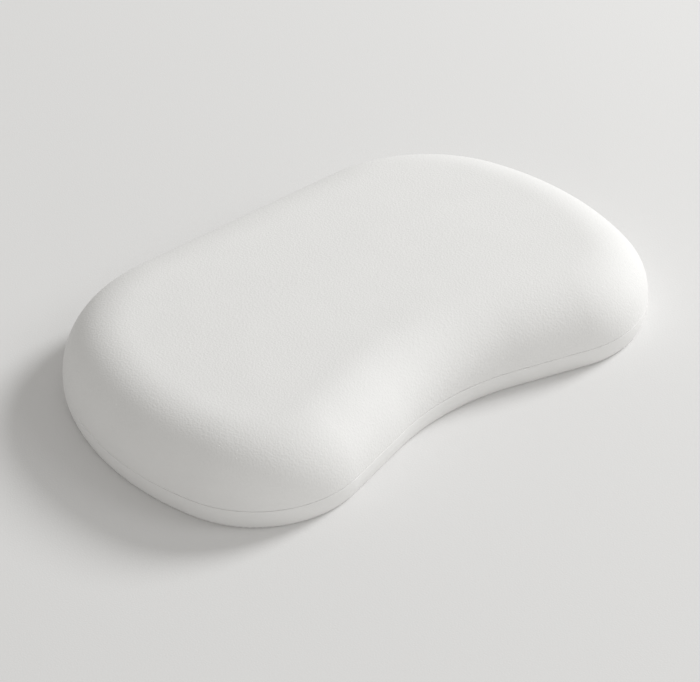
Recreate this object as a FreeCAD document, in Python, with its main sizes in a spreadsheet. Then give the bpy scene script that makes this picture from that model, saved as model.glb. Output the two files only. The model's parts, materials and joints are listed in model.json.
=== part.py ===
"""Kidney-shaped contoured neck pillow: two foam layers in a thin liner, in a zipped cover.

Millimetres, +Z up. The origin is the middle of the footprint, on the surface that the pillow lies on.
-Y is the hollow front edge that takes the neck and shoulders, +Y the straight back edge with the zip.
"""
import FreeCAD, Part
import Sketcher
import math
import os

SIZES = {
    # plan outline: seven arcs, a straight back edge and a straight flank each side of the front hollow
    "length": 560,
    "width": 350,
    "notch_radius": 242,
    "flank_length": 75,
    "lobe_radius": 103,
    "end_radius": 272,
    "end_centre_y": -20.3,
    "corner_radius": 155.5,
    # upright section of the edge: a band that curls under, then a two-arc shoulder up to the flat top
    "height": 76,
    "widest_level": 20,
    "band_radius": 50,
    "side_radius": 55,
    "shoulder_run": 63,
    "core_inset": 64,
    "rim_inset": 66,
    # cover
    "cover_thick": 1.2,
    "seam_level": 20.6,
    "seam_gap": 0.6,
    "base_seam_gap": 0.5,
    "thread_radius": 0.2,
    "base_thread_inset": 4.5,
    # liner and foam
    "cloth_gap": 0.2,
    "liner_thick": 0.6,
    "liner_seam_level": 44,
    "layer_level": 38,
    # zip, with depths measured inwards from the back face
    "slot_length": 222,
    "slot_height": 10.8,
    "slot_depth": 4,
    "tape_length": 227,
    "tape_width": 9.4,
    "tape_thick": 0.5,
    "tape_depth": 4.6,
    "coil_length": 214,
    "coil_width": 2.2,
    "coil_thick": 1.5,
    "coil_gap": 1,
    "stop_length": 2,
    "stop_thick": 1.7,
    "pocket_length": 229,
    "pocket_height": 22,
    "pocket_depth": 6.4,
    # slider and pull tab
    "slider_length": 11,
    "slider_width": 9.2,
    "slider_corner": 1.6,
    "slider_rest_x": 101,
    "plate_thick": 1,
    "running_gap": 0.3,
    "flange_width": 1.4,
    "post_length": 2.5,
    "post_width": 0.4,
    "bridge_radius": 4,
    "bridge_wire": 1.8,
    "pivot_rise": 0.9,
    "tab_thick": 1,
    "tab_width": 7,
    "tab_bar": 1,
    "tab_reach": 17,
    "tab_eye_reach": 1.4,
    "tab_hole_radius": 1.3,
}

# How Sketcher numbers the points of a line or arc, and its own axes and origin
START = 1
END = 2
CENTRE = 3
X_AXIS = -1
Y_AXIS = -2
ORIGIN = (-1, 1)

doc = FreeCAD.newDocument("neck_pillow")


# ---------------------------------------------------------------- sheet and sketch helpers

def make_sheet():
    """Put every driving dimension in a sheet, one row each, under its own name."""
    sheet = doc.addObject("Spreadsheet::Sheet", "Sizes")
    for row, (name, value) in enumerate(SIZES.items(), start=1):
        sheet.set(f"A{row}", name)
        sheet.set(f"B{row}", str(value))
        sheet.setAlias(f"B{row}", name)
    doc.recompute()


def origin_plane(body, role):
    """The body's own origin plane with this role."""
    return next(item for item in body.Origin.OriginFeatures if item.Role == role)


def new_sketch(body, name, role, lift=None):
    """A sketch on one of the body's origin planes, lifted along the plane's normal."""
    sketch = body.newObject("Sketcher::SketchObject", name)
    sketch.AttachmentSupport = [(origin_plane(body, role), "")]
    sketch.MapMode = "FlatFace"
    if lift:
        sketch.setExpression("AttachmentOffset.Base.z", lift)
    return sketch


def flat(x, y):
    """A point in a sketch's plane."""
    return FreeCAD.Vector(x, y, 0)


def arc(sketch, centre, radius, start, end):
    """Add an arc between two angles, anticlockwise."""
    circle = Part.Circle(flat(*centre), FreeCAD.Vector(0, 0, 1), radius)
    return sketch.addGeometry(Part.ArcOfCircle(circle, start, end))


def line(sketch, start, end):
    """Add a straight line."""
    return sketch.addGeometry(Part.LineSegment(flat(*start), flat(*end)))


def tie(sketch, kind, *items):
    """Add a constraint that has no size."""
    sketch.addConstraint(Sketcher.Constraint(kind, *items))


def dimension(sketch, name, kind, expression, *items):
    """Add a sized constraint and bind it to the sheet."""
    index = sketch.addConstraint(Sketcher.Constraint(kind, *items))
    sketch.renameConstraint(index, name)
    sketch.setExpression("Constraints." + name, expression)


def place_centre(sketch, name, item, x_now, y_now, x_size=None, y_size=None):
    """Hold the centre of an arc or circle at a distance from the sketch's origin."""
    if x_size:
        dimension(sketch, name + "_x", "DistanceX", x_size, *ORIGIN, item, CENTRE, x_now)
    if y_size:
        dimension(sketch, name + "_y", "DistanceY", y_size, *ORIGIN, item, CENTRE, y_now)


# ---------------------------------------------------------------- the plan outline

def draw_outline(sketch, inset, inset_size):
    """The kidney outline, every edge moved inwards by inset. The arcs keep their centres."""
    half = SIZES["width"] / 2
    end_r, lobe_r = SIZES["end_radius"], SIZES["lobe_radius"]
    corner_r, notch_r = SIZES["corner_radius"], SIZES["notch_radius"]
    flank = SIZES["flank_length"]
    end_x, end_y = SIZES["length"] / 2 - end_r, SIZES["end_centre_y"]
    lobe_y, corner_y = lobe_r - half, half - corner_r
    lobe_x = end_x + math.sqrt((end_r - lobe_r) ** 2 - (lobe_y - end_y) ** 2)
    corner_x = end_x + math.sqrt((end_r - corner_r) ** 2 - (corner_y - end_y) ** 2)
    notch_y = lobe_y - math.sqrt((notch_r + lobe_r) ** 2 + flank ** 2 - lobe_x ** 2)
    to_flank = math.atan2(lobe_y - notch_y, lobe_x) + math.atan2(flank, notch_r + lobe_r)
    facing_x, facing_y = math.cos(to_flank), math.sin(to_flank)
    notch_end = ((notch_r + inset) * facing_x, notch_y + (notch_r + inset) * facing_y)
    lobe_start = (lobe_x - (lobe_r - inset) * facing_x, lobe_y - (lobe_r - inset) * facing_y)
    lobe_to_end = math.atan2(lobe_y - end_y, lobe_x - end_x)
    end_to_corner = math.atan2(corner_y - end_y, corner_x - end_x)
    turn = math.pi
    back = half - inset

    right_half_back = line(sketch, (corner_x, back), (0, back))
    left_half_back = line(sketch, (0, back), (-corner_x, back))
    left_corner = arc(sketch, (-corner_x, corner_y), corner_r - inset, turn / 2, turn - end_to_corner)
    left_end = arc(sketch, (-end_x, end_y), end_r - inset, turn - end_to_corner, turn - lobe_to_end)
    left_lobe = arc(sketch, (-lobe_x, lobe_y), lobe_r - inset, turn - lobe_to_end, 2 * turn - to_flank)
    left_flank = line(sketch, (-lobe_start[0], lobe_start[1]), (-notch_end[0], notch_end[1]))
    notch = arc(sketch, (0, notch_y), notch_r + inset, to_flank, turn - to_flank)
    right_flank = line(sketch, notch_end, lobe_start)
    right_lobe = arc(sketch, (lobe_x, lobe_y), lobe_r - inset, to_flank - turn, lobe_to_end)
    right_end = arc(sketch, (end_x, end_y), end_r - inset, lobe_to_end, end_to_corner)
    right_corner = arc(sketch, (corner_x, corner_y), corner_r - inset, end_to_corner, turn / 2)

    tie(sketch, "Coincident", right_half_back, END, left_half_back, START)
    tie(sketch, "PointOnObject", right_half_back, END, Y_AXIS)
    tie(sketch, "Horizontal", right_half_back)
    tie(sketch, "Horizontal", left_half_back)
    joins = [
        (left_half_back, END, left_corner, START),
        (left_corner, END, left_end, START),
        (left_end, END, left_lobe, START),
        (left_lobe, END, left_flank, START),
        (left_flank, END, notch, END),
        (notch, START, right_flank, START),
        (right_flank, END, right_lobe, START),
        (right_lobe, END, right_end, START),
        (right_end, END, right_corner, START),
        (right_corner, END, right_half_back, START),
    ]
    for join in joins:
        tie(sketch, "Tangent", *join)
    pairs = ((right_end, left_end), (right_lobe, left_lobe), (right_corner, left_corner),
             (right_flank, left_flank))
    for right, left in pairs:
        tie(sketch, "Equal", right, left)

    place_centre(sketch, "right_end", right_end, end_x, end_y,
                 "Sizes.length / 2 - Sizes.end_radius", "Sizes.end_centre_y")
    place_centre(sketch, "left_end", left_end, -end_x, end_y,
                 "Sizes.end_radius - Sizes.length / 2", "Sizes.end_centre_y")
    for side, lobe in (("right", right_lobe), ("left", left_lobe)):
        place_centre(sketch, side + "_lobe", lobe, 0, lobe_y,
                     y_size="Sizes.lobe_radius - Sizes.width / 2")
    place_centre(sketch, "right_corner", right_corner, 0, corner_y,
                 y_size="Sizes.width / 2 - Sizes.corner_radius")
    dimension(sketch, "flank", "Distance", "Sizes.flank_length", right_flank, flank)
    radii = (("end", right_end, end_r - inset, "-"), ("lobe", right_lobe, lobe_r - inset, "-"),
             ("corner", right_corner, corner_r - inset, "-"), ("notch", notch, notch_r + inset, "+"))
    for name, item, radius, sign in radii:
        size = f"Sizes.{name}_radius {sign} ({inset_size})"
        dimension(sketch, name + "_arc", "Radius", size, item, radius)


def draw_edge_section(sketch, inset, inset_size):
    """Upright section through the edge at the back: the sketch's x runs along +Y, its y along +Z."""
    half, run, height = SIZES["width"] / 2, SIZES["shoulder_run"], SIZES["height"]
    level, band_r, side_r = SIZES["widest_level"], SIZES["band_radius"], SIZES["side_radius"]
    rise = height - level
    crown_r = ((run - side_r) ** 2 + rise ** 2 - side_r ** 2) / (2 * (rise - side_r))
    crown_x, crown_y = half - run, height - crown_r
    curl = math.asin((level - inset) / (band_r - inset))
    lean = math.atan2(level - crown_y, half - side_r - crown_x)
    band_foot = half - band_r + (band_r - inset) * math.cos(curl)
    inner = half - SIZES["rim_inset"]

    band = arc(sketch, (half - band_r, level), band_r - inset, -curl, 0)
    side = arc(sketch, (half - side_r, level), side_r - inset, 0, lean)
    crown = arc(sketch, (crown_x, crown_y), crown_r - inset, lean, math.pi / 2)
    top = line(sketch, (crown_x, height - inset), (inner, height - inset))
    wall = line(sketch, (inner, height - inset), (inner, inset))
    floor = line(sketch, (inner, inset), (band_foot, inset))

    tie(sketch, "Tangent", band, END, side, START)
    tie(sketch, "Tangent", side, END, crown, START)
    tie(sketch, "Tangent", crown, END, top, START)
    tie(sketch, "Coincident", top, END, wall, START)
    tie(sketch, "Coincident", wall, END, floor, START)
    tie(sketch, "Coincident", floor, END, band, START)
    tie(sketch, "Horizontal", top)
    tie(sketch, "Vertical", wall)
    tie(sketch, "Horizontal", floor)
    place_centre(sketch, "band", band, half - band_r, level,
                 "Sizes.width / 2 - Sizes.band_radius", "Sizes.widest_level")
    place_centre(sketch, "side", side, 0, level, y_size="Sizes.widest_level")
    place_centre(sketch, "crown", crown, crown_x, 0, "Sizes.width / 2 - Sizes.shoulder_run")
    dimension(sketch, "band_arc", "Radius", f"Sizes.band_radius - ({inset_size})", band, band_r - inset)
    dimension(sketch, "side_arc", "Radius", f"Sizes.side_radius - ({inset_size})", side, side_r - inset)
    dimension(sketch, "top_level", "DistanceY", f"Sizes.height - ({inset_size})",
              *ORIGIN, top, START, height - inset)
    if inset:
        dimension(sketch, "floor_level", "DistanceY", inset_size, *ORIGIN, floor, START, inset)
    else:
        tie(sketch, "PointOnObject", floor, START, X_AXIS)
    dimension(sketch, "inner_edge", "DistanceX", "Sizes.width / 2 - Sizes.rim_inset",
              *ORIGIN, wall, START, inner)


# ---------------------------------------------------------------- solids that the pieces are cut from

def total(*names):
    """The sum of some dimensions, as a number and as the sheet's expression."""
    return sum(SIZES[name] for name in names), " + ".join("Sizes." + name for name in names) or "0"


def sweep_round(body, name, spine, profile):
    """Sweep a section round the whole outline."""
    pipe = body.newObject("PartDesign::AdditivePipe", name)
    pipe.Profile = profile
    pipe.Spine = (spine, [])
    return pipe


def envelope(name, *layers):
    """The pillow's whole outer shape, moved inwards by the thickness of some layers."""
    inset, inset_size = total(*layers)
    core_inset, core_size = total("core_inset")
    body = doc.addObject("PartDesign::Body", name)
    spine = new_sketch(body, name + "_outline", "XY_Plane")
    draw_outline(spine, 0, "0")
    section = new_sketch(body, name + "_section", "YZ_Plane")
    draw_edge_section(section, inset, inset_size)
    sweep_round(body, name + "_rim", spine, section)
    middle = new_sketch(body, name + "_middle", "XY_Plane", lift=inset_size)
    draw_outline(middle, core_inset, core_size)
    core = body.newObject("PartDesign::Pad", name + "_core")
    core.Profile = middle
    core.setExpression("Length", f"Sizes.height - 2 * ({inset_size})")
    return body


def thread_ring(name, inset_name, level_size, level):
    """A thread that runs round the whole outline, in the gap between two sewn panels."""
    radius, inset = SIZES["thread_radius"], SIZES[inset_name]
    body = doc.addObject("PartDesign::Body", name)
    spine = new_sketch(body, name + "_outline", "XY_Plane", lift=level_size)
    draw_outline(spine, 0, "0")
    section = new_sketch(body, name + "_section", "YZ_Plane")
    centre = (SIZES["width"] / 2 - inset, level)
    circle = section.addGeometry(Part.Circle(flat(*centre), FreeCAD.Vector(0, 0, 1), radius))
    place_centre(section, "thread", circle, *centre,
                 f"Sizes.width / 2 - Sizes.{inset_name}", level_size)
    dimension(section, "thread_size", "Radius", "Sizes.thread_radius", circle, radius)
    sweep_round(body, name + "_loop", spine, section)
    return body


def block(name, x, y, z):
    """A box between two levels on each axis, each level an expression of the sheet."""
    box = doc.addObject("Part::Box", name)
    for side, axis, (low, high) in (("Length", "x", x), ("Width", "y", y), ("Height", "z", z)):
        box.setExpression(side, f"({high}) - ({low})")
        box.setExpression("Placement.Base." + axis, low)
    return box


def joined(kind, name, base, tool):
    """A cut or a common of two solids."""
    result = doc.addObject("Part::" + kind, name)
    result.Base = base
    result.Tool = tool
    return result


def fused(name, *solids):
    """Several solids made one."""
    result = doc.addObject("Part::MultiFuse", name)
    result.Shapes = list(solids)
    result.Refine = True
    return result


def centred(length_name):
    """Both ends of a length that is centred on x = 0."""
    return f"-Sizes.{length_name} / 2", f"Sizes.{length_name} / 2"


def depth(near, far):
    """Two levels behind the back face: the far one deeper into the pillow."""
    return f"Sizes.width / 2 - ({far})", f"Sizes.width / 2 - ({near})"


ALL_X = ("-Sizes.length", "Sizes.length")
ALL_Y = ("-Sizes.width", "Sizes.width")


def level_slice(name, solid, low, high):
    """The part of a solid between two levels."""
    slab = block(name + "_levels", ALL_X, ALL_Y, (low, high))
    return joined("Common", name, solid, slab)


def zip_pocket(name, *layers):
    """The room behind the zip, grown on every side by the thickness of some layers."""
    grown = total(*layers)[1]
    return block(name,
                 (f"-Sizes.pocket_length / 2 - ({grown})", f"Sizes.pocket_length / 2 + {grown}"),
                 depth("-Sizes.width", f"Sizes.pocket_depth + {grown}"),
                 (f"Sizes.seam_level - Sizes.pocket_height / 2 - ({grown})",
                  f"Sizes.seam_level + Sizes.pocket_height / 2 + {grown}"))


# ---------------------------------------------------------------- cover

def make_cover():
    """Upper panel, side band and underside, sewn to each other, with a slot for the zip."""
    shell = joined("Cut", "cover_shell", envelope("cover_outside"), envelope("cover_inside", "cover_thick"))
    slot = block("zip_slot", centred("slot_length"), depth("-Sizes.slot_depth", "Sizes.slot_depth"),
                 ("Sizes.seam_level - Sizes.slot_height / 2", "Sizes.seam_level + Sizes.slot_height / 2"))
    open_shell = joined("Cut", "cover_open_shell", shell, slot)
    half_gap = "Sizes.seam_gap / 2"
    yield level_slice("cover_top", open_shell, "Sizes.seam_level + " + half_gap, "Sizes.height + 1")
    yield level_slice("cover_band", open_shell, "Sizes.cover_thick + Sizes.base_seam_gap",
                      "Sizes.seam_level - " + half_gap)
    yield level_slice("cover_base", shell, "-1", "Sizes.cover_thick")
    upper_loop = thread_ring("upper_thread_loop", "cover_thick", "Sizes.seam_level", SIZES["seam_level"])
    yield joined("Cut", "seam_thread_upper", upper_loop, slot)
    base_level = SIZES["cover_thick"] + SIZES["base_seam_gap"] / 2
    yield thread_ring("seam_thread_lower", "base_thread_inset",
                      "Sizes.cover_thick + Sizes.base_seam_gap / 2", base_level)


# ---------------------------------------------------------------- liner and foam

def make_liner():
    """Two thin halves that follow the foam and dip behind the zip."""
    outside = joined("Cut", "liner_outside", envelope("liner_outer_form", "cover_thick", "cloth_gap"),
                     zip_pocket("liner_outer_pocket"))
    inside = joined("Cut", "liner_inside",
                    envelope("liner_inner_form", "cover_thick", "cloth_gap", "liner_thick"),
                    zip_pocket("liner_inner_pocket", "liner_thick"))
    shell = joined("Cut", "liner_shell", outside, inside)
    yield level_slice("liner_top", shell, "Sizes.liner_seam_level", "Sizes.height")
    yield level_slice("liner_bottom", shell, "0", "Sizes.liner_seam_level")


def make_foam():
    """A soft comfort layer glued on a firmer support layer."""
    form = envelope("foam_form", "cover_thick", "cloth_gap", "liner_thick", "cloth_gap")
    block_of_foam = joined("Cut", "foam_block", form, zip_pocket("foam_pocket", "liner_thick", "cloth_gap"))
    yield level_slice("foam_comfort_layer", block_of_foam, "Sizes.layer_level", "Sizes.height")
    yield level_slice("foam_support_layer", block_of_foam, "0", "Sizes.layer_level")


# ---------------------------------------------------------------- zip

def beside_seam(side, near, far):
    """Two levels above the seam for side 1, or below it for side -1."""
    if side > 0:
        return f"Sizes.seam_level + {near}", f"Sizes.seam_level + {far}"
    return f"Sizes.seam_level - ({far})", f"Sizes.seam_level - ({near})"


def make_zip_halves():
    """A woven tape and a coil for each side of the zip, with a stop at the end of each coil."""
    coil_near = "Sizes.coil_gap / 2"
    coil_far = "Sizes.coil_gap / 2 + Sizes.coil_width"
    tape_face = "Sizes.tape_depth - Sizes.tape_thick"
    stops = []
    for word, side in (("upper", 1), ("lower", -1)):
        yield block("zip_tape_" + word, centred("tape_length"), depth(tape_face, "Sizes.tape_depth"),
                    beside_seam(side, coil_near, f"{coil_near} + Sizes.tape_width"))
        yield block("zip_coil_" + word, centred("coil_length"),
                    depth(tape_face + " - Sizes.coil_thick", tape_face),
                    beside_seam(side, coil_near, coil_far))
        stops.append(block("zip_top_stop_" + word,
                           ("Sizes.coil_length / 2", "Sizes.coil_length / 2 + Sizes.stop_length"),
                           depth(tape_face + " - Sizes.stop_thick", tape_face),
                           beside_seam(side, coil_near, coil_far)))
    top_stops = doc.addObject("Part::Compound", "zip_top_stops")
    top_stops.Links = stops
    yield top_stops
    yield block("zip_bottom_stop",
                ("-Sizes.coil_length / 2 - Sizes.stop_length", "-Sizes.coil_length / 2"),
                depth(tape_face + " - Sizes.stop_thick", tape_face),
                (f"Sizes.seam_level - ({coil_far})", f"Sizes.seam_level + {coil_far}"))


def slider_span(before, after):
    """Two levels along x, measured from the slider's middle at rest."""
    return f"Sizes.slider_rest_x + {before}", f"Sizes.slider_rest_x + {after}"


def facing_sketch(body, name, depth_size):
    """A sketch that lies parallel to the back face, at a depth, drawn with x along +X and y along +Z."""
    return new_sketch(body, name, "XZ_Plane", lift=f"({depth_size}) - Sizes.width / 2")


def slider_plate(name, top_depth):
    """One of the slider's two plates, with rounded corners."""
    middle = SIZES["slider_rest_x"]
    half_length, half_width = SIZES["slider_length"] / 2, SIZES["slider_width"] / 2
    left, right = middle - half_length, middle + half_length
    low, high = SIZES["seam_level"] - half_width, SIZES["seam_level"] + half_width
    body = doc.addObject("PartDesign::Body", name)
    sketch = facing_sketch(body, name + "_outline", top_depth)
    corners = [(left, low), (right, low), (right, high), (left, high)]
    sides = [line(sketch, corner, corners[(turn + 1) % 4]) for turn, corner in enumerate(corners)]
    for turn, side in enumerate(sides):
        tie(sketch, "Coincident", side, END, sides[(turn + 1) % 4], START)
        tie(sketch, "Vertical" if turn % 2 else "Horizontal", side)
    bottom, far_side = sides[0], sides[1]
    dimension(sketch, "start_x", "DistanceX", "Sizes.slider_rest_x - Sizes.slider_length / 2",
              *ORIGIN, bottom, START, left)
    dimension(sketch, "start_z", "DistanceY", "Sizes.seam_level - Sizes.slider_width / 2",
              *ORIGIN, bottom, START, low)
    dimension(sketch, "length", "DistanceX", "Sizes.slider_length",
              bottom, START, bottom, END, right - left)
    dimension(sketch, "width", "DistanceY", "Sizes.slider_width",
              far_side, START, far_side, END, high - low)
    plate = body.newObject("PartDesign::Pad", name + "_blank")
    plate.Profile = sketch
    plate.setExpression("Length", "Sizes.plate_thick")
    doc.recompute()
    through = [f"Edge{index}" for index, edge in enumerate(plate.Shape.Edges, start=1)
               if abs(edge.BoundBox.YLength - SIZES["plate_thick"]) < SIZES["plate_thick"] / 2]
    corner = body.newObject("PartDesign::Fillet", name + "_corners")
    corner.Base = (plate, through)
    corner.setExpression("Radius", "Sizes.slider_corner")
    return body


def make_slider():
    """Two plates round the coils, joined by a post, with a round bridge on the outer one for the tab."""
    whole = slider_span("-Sizes.slider_length / 2 + Sizes.slider_corner",
                        "Sizes.slider_length / 2 - Sizes.slider_corner")
    outer_bottom = "Sizes.tape_depth - Sizes.tape_thick - Sizes.coil_thick - Sizes.running_gap"
    outer_top = outer_bottom + " - Sizes.plate_thick"
    flange_bottom = "Sizes.tape_depth - Sizes.tape_thick - Sizes.running_gap"
    inner_top = "Sizes.tape_depth + Sizes.running_gap"
    flanges = [
        block("slider_flange_" + word, whole, depth(outer_bottom, flange_bottom),
              beside_seam(side, "Sizes.slider_width / 2 - Sizes.flange_width", "Sizes.slider_width / 2"))
        for word, side in (("upper", 1), ("lower", -1))
    ]
    post = block("slider_post",
                 slider_span("Sizes.slider_length / 2 - Sizes.post_length", "Sizes.slider_length / 2"),
                 depth(outer_bottom, inner_top),
                 ("Sizes.seam_level - Sizes.post_width / 2", "Sizes.seam_level + Sizes.post_width / 2"))
    bridge = doc.addObject("Part::Torus", "slider_bridge")
    bridge.Angle3 = 180
    bridge.setExpression("Radius1", "Sizes.bridge_radius")
    bridge.setExpression("Radius2", "Sizes.bridge_wire / 2")
    bridge.setExpression("Placement.Base.x", "Sizes.slider_rest_x")
    bridge.setExpression("Placement.Base.y", f"Sizes.width / 2 - ({outer_top})")
    bridge.setExpression("Placement.Base.z", "Sizes.seam_level")
    yield fused("zip_slider", slider_plate("slider_outer_plate", outer_top), *flanges,
                slider_plate("slider_inner_plate", inner_top), post, bridge)


def draw_stadium(sketch, name, right, left, radius, right_size, left_size, radius_size):
    """Two half circles round centres on the seam's level, joined by straight sides."""
    level = SIZES["seam_level"]
    quarter = math.pi / 2
    near = arc(sketch, (right, level), radius, -quarter, quarter)
    far = arc(sketch, (left, level), radius, quarter, 3 * quarter)
    top = line(sketch, (right, level + radius), (left, level + radius))
    bottom = line(sketch, (left, level - radius), (right, level - radius))
    tie(sketch, "Tangent", near, END, top, START)
    tie(sketch, "Tangent", top, END, far, START)
    tie(sketch, "Tangent", far, END, bottom, START)
    tie(sketch, "Tangent", bottom, END, near, START)
    tie(sketch, "Horizontal", top)
    place_centre(sketch, name + "_near", near, right, level, right_size, "Sizes.seam_level")
    place_centre(sketch, name + "_far", far, left, level, x_size=left_size)
    dimension(sketch, name + "_end", "Radius", radius_size, near, radius)


def make_pull_tab():
    """A flat tab with an eye, whose end bar lies under the slider's bridge, and a small round hole."""
    pivot, bar = SIZES["slider_rest_x"], SIZES["tab_bar"]
    radius = SIZES["tab_width"] / 2
    near = pivot - radius + bar / 2
    near_size = "Sizes.slider_rest_x - Sizes.tab_width / 2 + Sizes.tab_bar / 2"
    body = doc.addObject("PartDesign::Body", "zip_pull_tab")
    sketch = facing_sketch(body, "tab_outline", "-Sizes.pivot_rise - Sizes.tab_thick / 2")
    draw_stadium(sketch, "rim", near, near - SIZES["tab_reach"], radius,
                 near_size, near_size + " - Sizes.tab_reach", "Sizes.tab_width / 2")
    draw_stadium(sketch, "eye", near, near - SIZES["tab_eye_reach"], radius - bar,
                 near_size, near_size + " - Sizes.tab_eye_reach", "Sizes.tab_width / 2 - Sizes.tab_bar")
    centre = (near - SIZES["tab_reach"], SIZES["seam_level"])
    hole = Part.Circle(flat(*centre), FreeCAD.Vector(0, 0, 1), SIZES["tab_hole_radius"])
    circle = sketch.addGeometry(hole)
    place_centre(sketch, "hole", circle, *centre, near_size + " - Sizes.tab_reach", "Sizes.seam_level")
    dimension(sketch, "hole_size", "Radius", "Sizes.tab_hole_radius", circle, SIZES["tab_hole_radius"])
    plate = body.newObject("PartDesign::Pad", "tab_plate")
    plate.Profile = sketch
    plate.setExpression("Length", "Sizes.tab_thick")
    yield body


# ---------------------------------------------------------------- checks and export

def check_document(pieces):
    """Stop if any object failed, or any piece is empty or not valid."""
    for item in doc.Objects:
        if "Invalid" in item.State or "Error" in item.State:
            raise RuntimeError(f"{item.Label}: {item.State}")
    for piece in pieces:
        if piece.Shape.isNull() or not piece.Shape.isValid() or not piece.Shape.Solids:
            raise RuntimeError(f"{piece.Label}: no valid solid")
        print(f"{piece.Label}: {len(piece.Shape.Solids)} solid(s), {piece.Shape.Volume:.1f} mm3")


def main():
    """Build the pillow and write each piece to its own file."""
    make_sheet()
    makers = (make_cover, make_liner, make_foam, make_zip_halves, make_slider, make_pull_tab)
    pieces = [piece for make in makers for piece in make()]
    doc.recompute()
    check_document(pieces)
    os.makedirs("parts", exist_ok=True)
    for piece in pieces:
        piece.Shape.exportStep(f"parts/{piece.Label}.step")


main()
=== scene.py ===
"""Contoured neck pillow: the sewn cover, its seams and its zip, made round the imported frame.

Metres, +Z up. X runs along the pillow, -Y is the hollow front edge and +Y the straight back with the zip.
"""
import bmesh
import bpy
import json
import math
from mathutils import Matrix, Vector, noise
from mathutils.geometry import delaunay_2d_cdt
import numpy as np


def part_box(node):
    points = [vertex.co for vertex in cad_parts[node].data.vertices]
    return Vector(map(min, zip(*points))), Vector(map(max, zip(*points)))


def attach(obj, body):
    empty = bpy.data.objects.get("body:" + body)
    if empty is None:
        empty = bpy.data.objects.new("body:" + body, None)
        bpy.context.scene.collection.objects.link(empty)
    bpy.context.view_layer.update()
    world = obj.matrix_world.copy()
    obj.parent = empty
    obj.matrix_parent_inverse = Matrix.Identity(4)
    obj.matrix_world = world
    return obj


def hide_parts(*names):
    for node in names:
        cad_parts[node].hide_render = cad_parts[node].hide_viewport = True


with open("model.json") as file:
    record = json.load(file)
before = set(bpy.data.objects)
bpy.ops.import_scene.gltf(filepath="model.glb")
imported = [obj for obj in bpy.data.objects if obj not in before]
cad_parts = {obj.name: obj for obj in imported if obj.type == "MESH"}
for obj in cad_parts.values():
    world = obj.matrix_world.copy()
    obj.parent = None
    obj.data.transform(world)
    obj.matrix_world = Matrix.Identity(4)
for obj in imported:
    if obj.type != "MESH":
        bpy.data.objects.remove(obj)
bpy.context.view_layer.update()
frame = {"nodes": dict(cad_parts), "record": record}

# ---------------------------------------------------------------- sizes

HALF_LENGTH = 0.280
HALF_WIDTH = 0.175
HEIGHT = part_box("cover_top")[1].z
SEAM = 0.0206

# Plan outline: arcs, a straight back and two straight flanks, as in the frame
NOTCH_RADIUS = 0.242
FLANK_LENGTH = 0.075
LOBE_RADIUS = 0.103
END_RADIUS = 0.272
END_CENTRE_Y = -0.0203
CORNER_RADIUS = 0.1555

# Upright section of the edge: a round band below the widest level, a superellipse above it
WIDEST = 0.020
BAND_RADIUS = 0.050
SHOULDER_RUN = 0.0626
SHOULDER_POWER = 2.22
CROWN = 0.0008

# Sewn edges: the roll's radius, half the gap at the seam, the hidden allowance and the cloth's thickness
LIP = 0.0006
CRACK = 0.0001
TUCK = 0.0012
CLOTH = 0.0005

# The seam at the underside: its level, and the angle through which the underside's edge rolls
BASE_EDGE = 0.0014
BASE_ROLL = 0.8 * math.pi

# Gathers beside a seam, with their number per metre
PUCKER_DEPTH = 0.0001
PUCKER_SCALE = 95

# Zip slot
SLOT_HALF_LENGTH = 0.111
SLOT_HALF_HEIGHT = 0.0054

# Spacing of the nets. Past its inset, a flat panel is an even triangle net.
STATION_STEP = 0.0016
BACK_STEP = 0.0008
LIP_STEPS = 6
CAP_INSET = 0.052
CAP_STEP = 0.005
BASE_INSET = 0.050
BASE_STEP = 0.010
RIM_CLEARANCE = 0.6
CDT_MERGE = 1e-7


# ---------------------------------------------------------------- plan outline

def arc_stations(centre, radius, start, end, step, side=1):
    """Points and outward normals along an arc. side is -1 where the outline is hollow."""
    count = max(2, round(abs(end - start) * radius / step))
    for index in range(count):
        angle = start + (end - start) * index / count
        normal = Vector((math.cos(angle), math.sin(angle)))
        yield Vector(centre) + radius * normal, side * normal


def line_stations(start, end, step):
    """Points and outward normals along a straight line that runs anticlockwise round the pillow."""
    start, end = Vector(start), Vector(end)
    along = (end - start).normalized()
    count = round((end - start).length / step)
    for index in range(count):
        yield start.lerp(end, index / count), Vector((along.y, -along.x))


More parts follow.
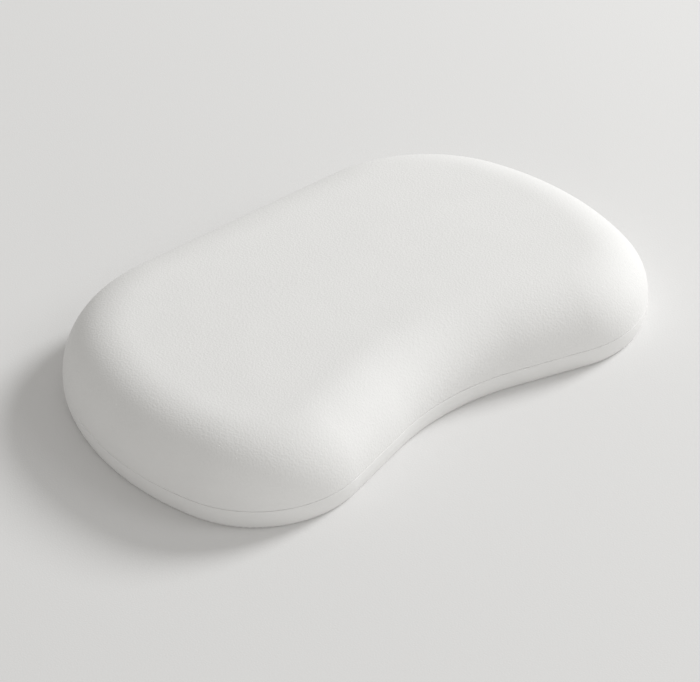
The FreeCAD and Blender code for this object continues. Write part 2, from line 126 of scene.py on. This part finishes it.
def half_outline():
    """The right half of the outline, from the middle of the hollow front to the middle of the back."""
    end_x = HALF_LENGTH - END_RADIUS
    lobe_y, corner_y = LOBE_RADIUS - HALF_WIDTH, HALF_WIDTH - CORNER_RADIUS
    lobe_x = end_x + math.sqrt((END_RADIUS - LOBE_RADIUS) ** 2 - (lobe_y - END_CENTRE_Y) ** 2)
    corner_x = end_x + math.sqrt((END_RADIUS - CORNER_RADIUS) ** 2 - (corner_y - END_CENTRE_Y) ** 2)
    notch_y = lobe_y - math.sqrt((NOTCH_RADIUS + LOBE_RADIUS) ** 2 + FLANK_LENGTH ** 2 - lobe_x ** 2)
    to_flank = (math.atan2(lobe_y - notch_y, lobe_x)
                + math.atan2(FLANK_LENGTH, NOTCH_RADIUS + LOBE_RADIUS))
    facing = Vector((math.cos(to_flank), math.sin(to_flank)))
    notch_end = Vector((0, notch_y)) + facing * NOTCH_RADIUS
    lobe_start = Vector((lobe_x, lobe_y)) - facing * LOBE_RADIUS
    lobe_to_end = math.atan2(lobe_y - END_CENTRE_Y, lobe_x - end_x)
    end_to_corner = math.atan2(corner_y - END_CENTRE_Y, corner_x - end_x)
    quarter = math.pi / 2
    points = []
    points += arc_stations((0, notch_y), NOTCH_RADIUS, quarter, to_flank, STATION_STEP, side=-1)
    points += line_stations(notch_end, lobe_start, STATION_STEP)
    points += arc_stations((lobe_x, lobe_y), LOBE_RADIUS, to_flank - math.pi, lobe_to_end, STATION_STEP)
    points += arc_stations((end_x, END_CENTRE_Y), END_RADIUS, lobe_to_end, end_to_corner, STATION_STEP)
    points += arc_stations((corner_x, corner_y), CORNER_RADIUS, end_to_corner, quarter, STATION_STEP)
    points += line_stations((corner_x, HALF_WIDTH), (0, HALF_WIDTH), BACK_STEP)
    points.append((Vector((0, HALF_WIDTH)), Vector((0, 1))))
    return points


def outline():
    """The whole outline, anticlockwise seen from above, as points and outward normals."""
    right = half_outline()
    mirror = Vector((-1, 1))
    left = [(point * mirror, normal * mirror) for point, normal in reversed(right[1:-1])]
    return right + left


STATIONS = outline()
OUTLINE_LINE = np.array([tuple(point) for point, _ in STATIONS])


# ---------------------------------------------------------------- upright section

def shoulder_point(turn):
    """Inset and level on the shoulder: turn 0 is the widest level, a quarter turn the flat top."""
    power = 2 / SHOULDER_POWER
    inset = SHOULDER_RUN * (1 - max(0, math.cos(turn)) ** power)
    return inset, WIDEST + (HEIGHT - WIDEST) * math.sin(turn) ** power


def shoulder_turn(level):
    """The turn at which the shoulder reaches a level."""
    share = min(1, (level - WIDEST) / (HEIGHT - WIDEST))
    return math.asin(share ** (SHOULDER_POWER / 2))


def shoulder_level(inset):
    """The level of the shoulder at an inset from the widest line, for numpy arrays."""
    share = np.clip(1 - inset / SHOULDER_RUN, 0, 1)
    return WIDEST + (HEIGHT - WIDEST) * (1 - share ** SHOULDER_POWER) ** (1 / SHOULDER_POWER)


def edge_inset(level):
    """How far the side of the pillow is inside its widest line at a level."""
    if level >= WIDEST:
        return shoulder_point(shoulder_turn(level))[0]
    return BAND_RADIUS - math.sqrt(BAND_RADIUS ** 2 - (WIDEST - level) ** 2)


def zip_opening(point):
    """How far a panel's edge stands back from the seam at a station, for the zip slot."""
    if point.y < HALF_WIDTH - CLOTH or abs(point.x) > SLOT_HALF_LENGTH:
        return 0
    share = min(1, (SLOT_HALF_LENGTH - abs(point.x)) / SLOT_HALF_HEIGHT)
    return SLOT_HALF_HEIGHT * math.sqrt(1 - (1 - share) ** 2)


def pucker(point, level):
    """Small uneven gathers of the cloth beside a seam."""
    return noise.noise(Vector((point.x, point.y, level)) * PUCKER_SCALE) * PUCKER_DEPTH


def lip(level, direction):
    """A sewn edge that rolls inwards, from the tucked allowance out to the side of the pillow."""
    surface = level + direction * LIP
    inset = edge_inset(surface)
    rows = [(inset + LIP + TUCK, level)]
    for step in range(LIP_STEPS):
        angle = math.pi / 2 * (1 - step / LIP_STEPS)
        rows.append((inset + LIP * (1 - math.cos(angle)), surface - direction * LIP * math.sin(angle)))
    return rows


# ---------------------------------------------------------------- materials

SHEEN_ROUGHNESS = 0.5
WAVE_RADIANS = 20  # what a wave texture turns through per metre at scale 1


def shader(name, colour, roughness, sheen=0.0, metallic=0.0):
    """A new material, with its surface node and its object coordinates."""
    material = bpy.data.materials.new(name)
    material.use_nodes = True
    nodes = material.node_tree.nodes
    surface = nodes["Principled BSDF"]
    surface.inputs["Base Color"].default_value = (*colour, 1)
    surface.inputs["Roughness"].default_value = roughness
    surface.inputs["Metallic"].default_value = metallic
    surface.inputs["Sheen Weight"].default_value = sheen
    surface.inputs["Sheen Roughness"].default_value = SHEEN_ROUGHNESS
    place = nodes.new("ShaderNodeTexCoord")
    return material, surface, place.outputs["Object"]


def texture(material, kind, place, scale, **settings):
    """A procedural texture with its scale per metre. settings are its other sockets or properties."""
    node = material.node_tree.nodes.new("ShaderNodeTex" + kind)
    material.node_tree.links.new(place, node.inputs["Vector"])
    node.inputs["Scale"].default_value = scale
    for setting, value in settings.items():
        if setting in node.inputs:
            node.inputs[setting].default_value = value
        else:
            setattr(node, setting, value)
    return node


def arithmetic(material, operation, first, second):
    """A maths node on two values, each a socket or a number."""
    node = material.node_tree.nodes.new("ShaderNodeMath")
    node.operation = operation
    for socket, value in zip(node.inputs, (first, second)):
        if isinstance(value, (int, float)):
            socket.default_value = value
        else:
            material.node_tree.links.new(value, socket)
    return node.outputs[0]


def bump(material, surface, height, distance):
    """Raise the surface by a height field. A height of 1 stands for distance, in metres."""
    node = material.node_tree.nodes.new("ShaderNodeBump")
    node.inputs["Distance"].default_value = distance
    node.inputs["Strength"].default_value = 1.0
    material.node_tree.links.new(height, node.inputs["Height"])
    material.node_tree.links.new(node.outputs["Normal"], surface.inputs["Normal"])


def tint(material, surface, share, dark, light):
    """Blend the base colour from dark to light by a value."""
    ramp = material.node_tree.nodes.new("ShaderNodeValToRGB")
    ramp.color_ramp.elements[0].color = (*dark, 1)
    ramp.color_ramp.elements[1].color = (*light, 1)
    material.node_tree.links.new(share, ramp.inputs["Fac"])
    material.node_tree.links.new(ramp.outputs["Color"], surface.inputs["Base Color"])


def shade(colour, factor):
    """A colour made darker or lighter."""
    return tuple(min(1, part * factor) for part in colour)


COVER_WHITE = (0.80, 0.795, 0.785)
BAND_WHITE = (0.81, 0.805, 0.795)
BASE_WHITE = (0.74, 0.735, 0.725)
TAPE_WHITE = (0.76, 0.755, 0.745)
LINER_WHITE = (0.82, 0.82, 0.81)
FLOOR_WHITE = (0.76, 0.755, 0.75)
COMFORT_CREAM = (0.85, 0.82, 0.72)
SUPPORT_BLUE = (0.78, 0.8, 0.82)
NICKEL = (0.62, 0.62, 0.61)
NYLON_WHITE = (0.78, 0.78, 0.77)


def cover_fabric():
    """Matt white cloth with a fine pebble grain."""
    material, surface, place = shader("cover_fabric", COVER_WHITE, 0.85, sheen=0.15)
    pebbles = texture(material, "Voronoi", place, scale=520, feature="SMOOTH_F1", Smoothness=0.6)
    fuzz = texture(material, "Noise", place, scale=900, Detail=4)
    soft = texture(material, "Noise", place, scale=30, Detail=3)
    half_fuzz = arithmetic(material, "MULTIPLY", fuzz.outputs["Fac"], 0.5)
    height = arithmetic(material, "ADD", pebbles.outputs["Distance"], half_fuzz)
    bump(material, surface, height, distance=0.00017)
    tint(material, surface, soft.outputs["Fac"],
         dark=shade(COVER_WHITE, 0.98), light=shade(COVER_WHITE, 1.02))
    return material


def band_fabric():
    """Matt white cloth, smoother than the upper panel, with a faint knit."""
    material, surface, place = shader("band_fabric", BAND_WHITE, 0.8, sheen=0.1)
    knit = texture(material, "Noise", place, scale=1400, Detail=2)
    soft = texture(material, "Noise", place, scale=40, Detail=2)
    bump(material, surface, knit.outputs["Fac"], distance=0.00008)
    tint(material, surface, soft.outputs["Fac"],
         dark=shade(BAND_WHITE, 0.985), light=shade(BAND_WHITE, 1.015))
    return material


def weave(name, colour, ripple, depth, slant=0.0):
    """A plain or slanted weave with painted shade between its threads. ripple is in radians per metre, so
    a thread comes every 2 pi / ripple.
    """
    material, surface, place = shader(name, colour, 0.85, sheen=0.1)
    turned = material.node_tree.nodes.new("ShaderNodeMapping")
    turned.inputs["Rotation"].default_value = (slant, slant, slant)
    material.node_tree.links.new(place, turned.inputs["Vector"])
    scale = ripple / WAVE_RADIANS
    along_x, along_y, along_z = [
        texture(material, "Wave", turned.outputs["Vector"], scale, bands_direction=axis)
        for axis in ("X", "Y", "Z")
    ]
    crossed = arithmetic(material, "MULTIPLY", along_x.outputs["Fac"], along_y.outputs["Fac"])
    half_z = arithmetic(material, "MULTIPLY", along_z.outputs["Fac"], 0.5)
    height = arithmetic(material, "ADD", crossed, half_z)
    bump(material, surface, height, distance=depth)
    # Painted shade: the colour darkens where the weave's height is low, in the hollows between the
    # threads.
    tint(material, surface, height, dark=shade(colour, 0.93), light=shade(colour, 1.03))
    return material


def foam(name, colour, cell):
    """Open-cell foam with painted shade in its cells' pits, with its cell size in metres."""
    material, surface, place = shader(name, colour, 0.95)
    cells = texture(material, "Voronoi", place, scale=1 / cell, feature="F1")
    bump(material, surface, cells.outputs["Distance"], distance=cell / 4)
    # Painted shade: the colour darkens towards the middle of each cell, where the bump makes a pit.
    tint(material, surface, cells.outputs["Distance"], dark=shade(colour, 0.9), light=shade(colour, 1.03))
    return material


def metal():
    """Satin nickel plate with fine brush marks."""
    material, surface, place = shader("zip_metal", NICKEL, 0.32, metallic=1.0)
    marks = texture(material, "Noise", place, scale=1500, Detail=6)
    bump(material, surface, marks.outputs["Fac"], distance=0.00003)
    tint(material, surface, marks.outputs["Fac"], dark=(0.56, 0.56, 0.55), light=(0.68, 0.68, 0.67))
    return material


def nylon():
    """Satin white nylon."""
    material, surface, place = shader("zip_coil", NYLON_WHITE, 0.45)
    grain = texture(material, "Noise", place, scale=2500, Detail=2)
    bump(material, surface, grain.outputs["Fac"], distance=0.00002)
    tint(material, surface, grain.outputs["Fac"], dark=(0.75, 0.75, 0.74), light=(0.8, 0.8, 0.79))
    return material


MATERIALS = {
    "cover_fabric": cover_fabric(),
    "band_fabric": band_fabric(),
    "base_fabric": weave("base_fabric", BASE_WHITE, ripple=1600, depth=0.0001),
    "thread": weave("thread", BASE_WHITE, ripple=4000, depth=0.00005, slant=0.8),
    "liner_knit": weave("liner_knit", LINER_WHITE, ripple=1200, depth=0.0001),
    "comfort_foam": foam("comfort_foam", COMFORT_CREAM, cell=0.0007),
    "support_foam": foam("support_foam", SUPPORT_BLUE, cell=0.0011),
    "zip_tape": weave("zip_tape", TAPE_WHITE, ripple=3200, depth=0.00008, slant=0.785),
    "zip_coil": nylon(),
    "zip_metal": metal(),
}


def dress_frame():
    """Give every CAD node the material of its slot."""
    slots = {row["node"]: row["material_slot"] for row in frame["record"]["subparts"]}
    for node, thing in frame["nodes"].items():
        for holder in thing.material_slots:
            holder.material = MATERIALS[slots[node]]


# ---------------------------------------------------------------- mesh helpers

def new_piece(name, build, slot, body="pillow"):
    """A smooth object made from a net, in its slot's material, that moves with a body."""
    bmesh.ops.recalc_face_normals(build, faces=build.faces)
    mesh = bpy.data.meshes.new(name)
    build.to_mesh(mesh)
    build.free()
    mesh.polygons.foreach_set("use_smooth", [True] * len(mesh.polygons))
    mesh.materials.append(MATERIALS[slot])
    piece = bpy.data.objects.new(name, mesh)
    bpy.context.collection.objects.link(piece)
    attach(piece, body)
    return piece


def ring_rows(build, rows_at):
    """Add a strip of quads round the outline. rows_at gives a station's rows as (inset, level)."""
    grid = []
    for point, normal in STATIONS:
        column = []
        for inset, level in rows_at(point):
            flat = point - normal * inset
            column.append(build.verts.new((flat.x, flat.y, level)))
        grid.append(column)
    for index, column in enumerate(grid):
        following = grid[(index + 1) % len(grid)]
        for row in range(len(column) - 1):
            build.faces.new((column[row], following[row], following[row + 1], column[row + 1]))
    return grid


def outline_distance(points):
    """Each point's distance to the nearest station of the outline."""
    distance = np.empty(len(points))
    for index, point in enumerate(points):
        distance[index] = np.sqrt(((OUTLINE_LINE - point) ** 2).sum(axis=1).min())
    return distance


def inside_outline(points):
    """Which points lie inside the outline."""
    found = np.zeros(len(points), dtype=bool)
    for start, end in zip(OUTLINE_LINE, np.roll(OUTLINE_LINE, -1, axis=0)):
        if start[1] == end[1]:
            continue
        crosses = (start[1] > points[:, 1]) != (end[1] > points[:, 1])
        at_x = start[0] + (points[:, 1] - start[1]) / (end[1] - start[1]) * (end[0] - start[0])
        found ^= crosses & (points[:, 0] < at_x)
    return found


def triangle_grid(step, inset):
    """The points of an even triangle net that lie more than an inset inside the outline."""
    row_step = step * math.sqrt(3) / 2
    rows = int(HALF_WIDTH * 2 / row_step)
    columns = int(HALF_LENGTH * 2 / step)
    grid = []
    for row in range(-rows // 2, rows // 2 + 1):
        for column in range(-columns // 2, columns // 2 + 1):
            grid.append(((column + row % 2 / 2) * step, row * row_step))
    grid = np.array(grid)
    return grid[(outline_distance(grid) > inset + step * RIM_CLEARANCE) & inside_outline(grid)]


def fill(build, rim, step, inset, level_at):
    """Fill inside a rim with an even triangle net whose levels follow the distance to the outline."""
    border = [Vector(vert.co[:2]) for vert in rim]
    loop = [(index, (index + 1) % len(border)) for index in range(len(border))]
    inner = [Vector(point) for point in triangle_grid(step, inset)]
    flat, _, faces, sources, _, _ = delaunay_2d_cdt(border + inner, loop, [], 1, CDT_MERGE)
    levels = level_at(outline_distance(np.array([tuple(point) for point in flat])))
    verts = []
    for point, level, source in zip(flat, levels, sources):
        on_rim = [index for index in source if index < len(rim)]
        verts.append(rim[on_rim[0]] if on_rim else build.verts.new((point.x, point.y, level)))
    for face in faces:
        build.faces.new([verts[index] for index in face])


def finish_panel(name, build, node, slot):
    """Turn a panel's net into a cloth shell with a thickness, in place of its CAD node."""
    piece = new_piece(name, build, slot)
    shell = piece.modifiers.new("cloth", "SOLIDIFY")
    shell.thickness = CLOTH
    shell.offset = -1
    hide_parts(node)


# ---------------------------------------------------------------- cover panels

SHOULDER_ROWS = 44
SHOULDER_SPREAD = 1.1
BAND_ROWS = 22
CAP_TURN = math.acos((1 - CAP_INSET / SHOULDER_RUN) ** (SHOULDER_POWER / 2))
BASE_FLAT_ROWS = (2.5, 6)  # in lips from the underside's edge


def top_rows(point):
    """Rows of the upper panel, from its sewn edge up the shoulder, closer together near the edge."""
    level = SEAM + CRACK + zip_opening(point) + pucker(point, SEAM)
    rows = lip(level, 1)
    start = shoulder_turn(level + LIP)
    for row in range(SHOULDER_ROWS + 1):
        share = (row / SHOULDER_ROWS) ** SHOULDER_SPREAD
        rows.append(shoulder_point(start + (CAP_TURN - start) * share))
    return rows


def top_level(distance):
    """The level of the upper panel at a distance from the outline, with a slight crown."""
    crown = np.clip((distance - CAP_INSET) / (HALF_WIDTH - CAP_INSET), 0, 1)
    return shoulder_level(distance) + CROWN * crown ** 2 * (3 - 2 * crown)


def make_top():
    """The upper panel: shoulder and flat top in one piece of cloth."""
    build = bmesh.new()
    grid = ring_rows(build, top_rows)
    fill(build, [column[-1] for column in grid], CAP_STEP, CAP_INSET, top_level)
    finish_panel("upper_cover", build, "cover_top", "cover_fabric")


def band_rows(point):
    """Rows of the side band, from its edge at the seam down to its edge at the underside."""
    upper = SEAM - CRACK - zip_opening(point) - pucker(point, SEAM)
    lower = BASE_EDGE + pucker(point, 0)
    rows = lip(upper, -1)
    high, low = upper - LIP, lower + LIP
    for row in range(1, BAND_ROWS):
        level = high + (low - high) * row / BAND_ROWS
        rows.append((edge_inset(level), level))
    return rows + lip(lower, 1)[::-1]


def make_band():
    """The smooth side band, from the seam down to the underside."""
    build = bmesh.new()
    ring_rows(build, band_rows)
    finish_panel("side_band", build, "cover_band", "band_fabric")


def base_rows(_point):
    """Rows of the underside panel's rolled edge, the same at every station."""
    edge = BASE_EDGE - CRACK * 2
    inset = edge_inset(edge) + LIP / 2
    rows = [(inset + LIP + TUCK, edge)]
    for step in range(LIP_STEPS + 1):
        angle = math.pi / 2 - BASE_ROLL * step / LIP_STEPS
        rows.append((inset + LIP * (1 - math.cos(angle)), edge / 2 + edge / 2 * math.sin(angle)))
    for lips in BASE_FLAT_ROWS:
        rows.append((inset + LIP * lips, 0))
    return rows


def make_base():
    """The underside panel, flat where it rests."""
    build = bmesh.new()
    grid = ring_rows(build, base_rows)
    fill(build, [column[-1] for column in grid], BASE_STEP, BASE_INSET, np.zeros_like)
    finish_panel("underside", build, "cover_base", "base_fabric")


# ---------------------------------------------------------------- zip

# Coils: the loops' pitch, the wire's radius and how far the loops' heads stay from the seam's level
COIL_PITCH = 0.0013
COIL_WIRE = 0.00021
COIL_HEAD = 0.00034
LOOP_STEPS = 14
LOOP_ROUNDING = 0.7  # a power of the sine, 1 for an oval loop and less for flatter legs

# Stitching: the topstitch's stitches, and the thinner thread that holds the coils
STITCH_LENGTH = 0.0026
STITCH_PITCH = 0.0033
STITCH_THREAD = 0.00017
STITCH_STEPS = 8
STITCH_MARGIN = 0.0021
STITCH_RISE = 2.2 * STITCH_THREAD
STITCH_SINK = 1.6 * STITCH_THREAD
COIL_THREAD = 0.7 * STITCH_THREAD
COIL_THREAD_BACK = 0.0006
COIL_THREAD_STEPS = 4

# Metal parts: their rounded edges, and the angles that tell a curve's facets from a real edge
SLIDER_EDGE = 0.00018
TAB_EDGE = 0.00022
STOP_EDGE = 0.0002
EDGE_SEGMENTS = 3
WELD = 1e-6
FLAT_ANGLE = math.radians(2)
SHARP_ANGLE = math.radians(35)


def tube(build, points, radius, sides=6):
    """A round wire through a row of points, closed at both ends."""
    rings = []
    across = (points[1] - points[0]).orthogonal()
    for index, point in enumerate(points):
        along = (points[min(index + 1, len(points) - 1)] - points[max(index - 1, 0)]).normalized()
        across = (across - along * across.dot(along)).normalized()
        up = along.cross(across)
        ring = []
        for side in range(sides):
            angle = 2 * math.pi * side / sides
            place = point + radius * (math.cos(angle) * across + math.sin(angle) * up)
            ring.append(build.verts.new(place))
        rings.append(ring)
    for ring, following in zip(rings, rings[1:]):
        for side in range(sides):
            after = (side + 1) % sides
            build.faces.new((ring[side], ring[after], following[after], following[side]))
    build.faces.new(rings[0])
    build.faces.new(rings[-1])


def make_coil(word, side):
    """One half of the zip's teeth: a wire wound in flat loops whose heads meet the other half's."""
    low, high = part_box("zip_coil_" + word)
    back = high.z if side > 0 else low.z
    head = SEAM + side * COIL_HEAD
    middle = Vector((0, (low.y + high.y) / 2, (head + back) / 2))
    half_thick = (high.y - low.y) / 2 - COIL_WIRE
    half_wide = abs(back - head) / 2 - COIL_WIRE
    shift = COIL_PITCH / 2 if side > 0 else 0
    turns = int((high.x - low.x - 2 * COIL_WIRE - shift) / COIL_PITCH)
    points = []
    for step in range(turns * LOOP_STEPS + 1):
        angle = 2 * math.pi * step / LOOP_STEPS
        leg = math.copysign(abs(math.sin(angle)) ** LOOP_ROUNDING, math.sin(angle))
        points.append(Vector((low.x + COIL_WIRE + shift + COIL_PITCH * step / LOOP_STEPS,
                              middle.y + half_thick * leg,
                              middle.z + half_wide * math.cos(angle))))
    build = bmesh.new()
    tube(build, points, COIL_WIRE)
    piece = new_piece(f"zip_coil_{word}_wire", build, "zip_coil")
    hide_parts("zip_coil_" + word)


def make_coil_stitching(word, side):
    """The thread that ties each loop of a coil to its tape, near the back of the loops."""
    low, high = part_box("zip_coil_" + word)
    level = high.z - COIL_THREAD_BACK if side > 0 else low.z + COIL_THREAD_BACK
    steps = int((high.x - low.x) / COIL_PITCH * COIL_THREAD_STEPS)
    points = []
    for step in range(steps + 1):
        loops = step / COIL_THREAD_STEPS
        dip = COIL_WIRE * (1 - math.cos(2 * math.pi * loops))
        points.append(Vector((low.x + COIL_PITCH * loops, high.y - dip, level)))
    build = bmesh.new()
    tube(build, points, COIL_THREAD)
    new_piece(f"zip_coil_{word}_thread", build, "thread")


def back_face(x, level):
    """A point on the cloth of the straight back."""
    return Vector((x, HALF_WIDTH - edge_inset(level), level))


def stitch_row(build, start, end):
    """A row of lockstitches on the straight back, between two (x, level) places."""
    start, end = Vector(start), Vector(end)
    count = round((end - start).length / STITCH_PITCH)
    for index in range(count):
        first = (index + 0.5 * (1 - STITCH_LENGTH / STITCH_PITCH)) / count
        points = []
        for step in range(STITCH_STEPS + 1):
            share = step / STITCH_STEPS
            flat = start.lerp(end, first + share * STITCH_LENGTH / STITCH_PITCH / count)
            rise = STITCH_RISE * math.sqrt(math.sin(math.pi * share)) - STITCH_SINK
            points.append(back_face(*flat) + Vector((0, rise, 0)))
        tube(build, points, STITCH_THREAD)


def make_topstitch():
    """Stitches through cloth and tape, in a rectangle round the zip slot."""
    right = SLOT_HALF_LENGTH + STITCH_MARGIN
    high = SEAM + SLOT_HALF_HEIGHT + STITCH_MARGIN
    low = SEAM - SLOT_HALF_HEIGHT - STITCH_MARGIN
    corners = [(right, low), (right, high), (-right, high), (-right, low)]
    build = bmesh.new()
    for corner, following in zip(corners, corners[1:] + corners[:1]):
        stitch_row(build, corner, following)
    new_piece("zip_topstitch", build, "thread")


def make_metal_piece(node, name, body, edge):
    """A metal part of the zip with its CAD shape and softly rounded edges."""
    build = bmesh.new()
    build.from_mesh(frame["nodes"][node].data)
    bmesh.ops.remove_doubles(build, verts=build.verts, dist=WELD)
    bmesh.ops.dissolve_limit(build, angle_limit=FLAT_ANGLE, verts=build.verts, edges=build.edges)
    sharp = [line for line in build.edges if line.calc_face_angle(0) > SHARP_ANGLE]
    bmesh.ops.bevel(build, geom=sharp, offset=edge, segments=EDGE_SEGMENTS, profile=0.5,
                    affect="EDGES", clamp_overlap=True)
    bmesh.ops.triangulate(build, faces=[face for face in build.faces if len(face.verts) > 4])
    piece = new_piece(name, build, "zip_metal", body)
    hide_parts(node)


def make_zip():
    """Coils with their stitching, the topstitched slot, and the metal parts."""
    for word, side in (("upper", 1), ("lower", -1)):
        make_coil(word, side)
        make_coil_stitching(word, side)
    make_topstitch()
    make_metal_piece("zip_slider", "slider", "slider", SLIDER_EDGE)
    make_metal_piece("zip_pull_tab", "pull_tab", "pull_tab", TAB_EDGE)
    make_metal_piece("zip_top_stops", "top_stops", "pillow", STOP_EDGE)
    make_metal_piece("zip_bottom_stop", "bottom_stop", "pillow", STOP_EDGE)


# ---------------------------------------------------------------- stage, lights and camera

FLOOR_SIZE = 12
WORLD_COLOUR = (1, 0.988, 0.962, 1)
WORLD_STRENGTH = 0.475
COOL_WHITE = (0.985, 0.995, 1)
WARM_WHITE = (1, 0.995, 0.985)


def make_floor():
    """A plain pale floor."""
    bpy.ops.mesh.primitive_plane_add(size=FLOOR_SIZE)
    floor = bpy.context.object
    floor.name = "floor"
    material, surface, place = shader("floor_cloth", FLOOR_WHITE, 0.9)
    grain = texture(material, "Noise", place, scale=600, Detail=3)
    bump(material, surface, grain.outputs["Fac"], distance=0.0001)
    floor.data.materials.append(material)


def area_light(name, azimuth, elevation, distance, size, power, colour):
    """A round soft light that points at the pillow. Its azimuth runs from +X to +Y, in degrees."""
    lamp = bpy.data.lights.new(name, "AREA")
    lamp.shape = "DISK"
    lamp.size = size
    lamp.energy = power
    lamp.color = colour
    holder = bpy.data.objects.new(name, lamp)
    bpy.context.collection.objects.link(holder)
    around, up = math.radians(azimuth), math.radians(elevation)
    away = Vector((math.cos(around) * math.cos(up), math.sin(around) * math.cos(up), math.sin(up)))
    holder.location = away * distance
    holder.rotation_euler = (-away).to_track_quat("-Z", "Y").to_euler()


def make_lights():
    """A soft key from the +X end, weak lights from the front and low on the front left, and a fill."""
    world = bpy.data.worlds.new("studio")
    world.use_nodes = True
    world.node_tree.nodes["Background"].inputs["Color"].default_value = WORLD_COLOUR
    world.node_tree.nodes["Background"].inputs["Strength"].default_value = WORLD_STRENGTH
    bpy.context.scene.world = world
    area_light("key", azimuth=-5, elevation=33, distance=6, size=2.0, power=250, colour=COOL_WHITE)
    area_light("front", azimuth=-50, elevation=38, distance=6, size=2.6, power=44, colour=COOL_WHITE)
    area_light("low", azimuth=-125, elevation=5, distance=5.5, size=1.0, power=26, colour=WARM_WHITE)


# The azimuth is measured from straight in front of the pillow, and a minus sign is to its left
CAMERA_AZIMUTH = -41.24
CAMERA_ELEVATION = 35.77
CAMERA_DISTANCE = 2.745
CAMERA_LENS = 153.4
CAMERA_SENSOR = 36  # millimetres wide
CAMERA_REACH = 50
CAMERA_TARGET = Vector((0.0049, 0.0045, 0))


def make_camera():
    """A long-lens camera from the front left, looking down on the pillow."""
    around, up = math.radians(CAMERA_AZIMUTH), math.radians(CAMERA_ELEVATION)
    back = Vector((math.sin(around) * math.cos(up), -math.cos(around) * math.cos(up), math.sin(up)))
    lens = bpy.data.cameras.new("camera")
    lens.lens = CAMERA_LENS
    lens.sensor_width = CAMERA_SENSOR
    lens.clip_end = CAMERA_REACH
    camera = bpy.data.objects.new("camera", lens)
    bpy.context.collection.objects.link(camera)
    camera.location = CAMERA_TARGET + back * CAMERA_DISTANCE
    camera.rotation_euler = back.to_track_quat("Z", "Y").to_euler()
    bpy.context.scene.camera = camera


# ---------------------------------------------------------------- whole scene


def main():
    """Make everything."""
    make_camera()
    dress_frame()
    make_top()
    make_band()
    make_base()
    make_zip()
    make_floor()
    make_lights()
    bpy.context.scene.view_settings.view_transform = "Standard"


main()
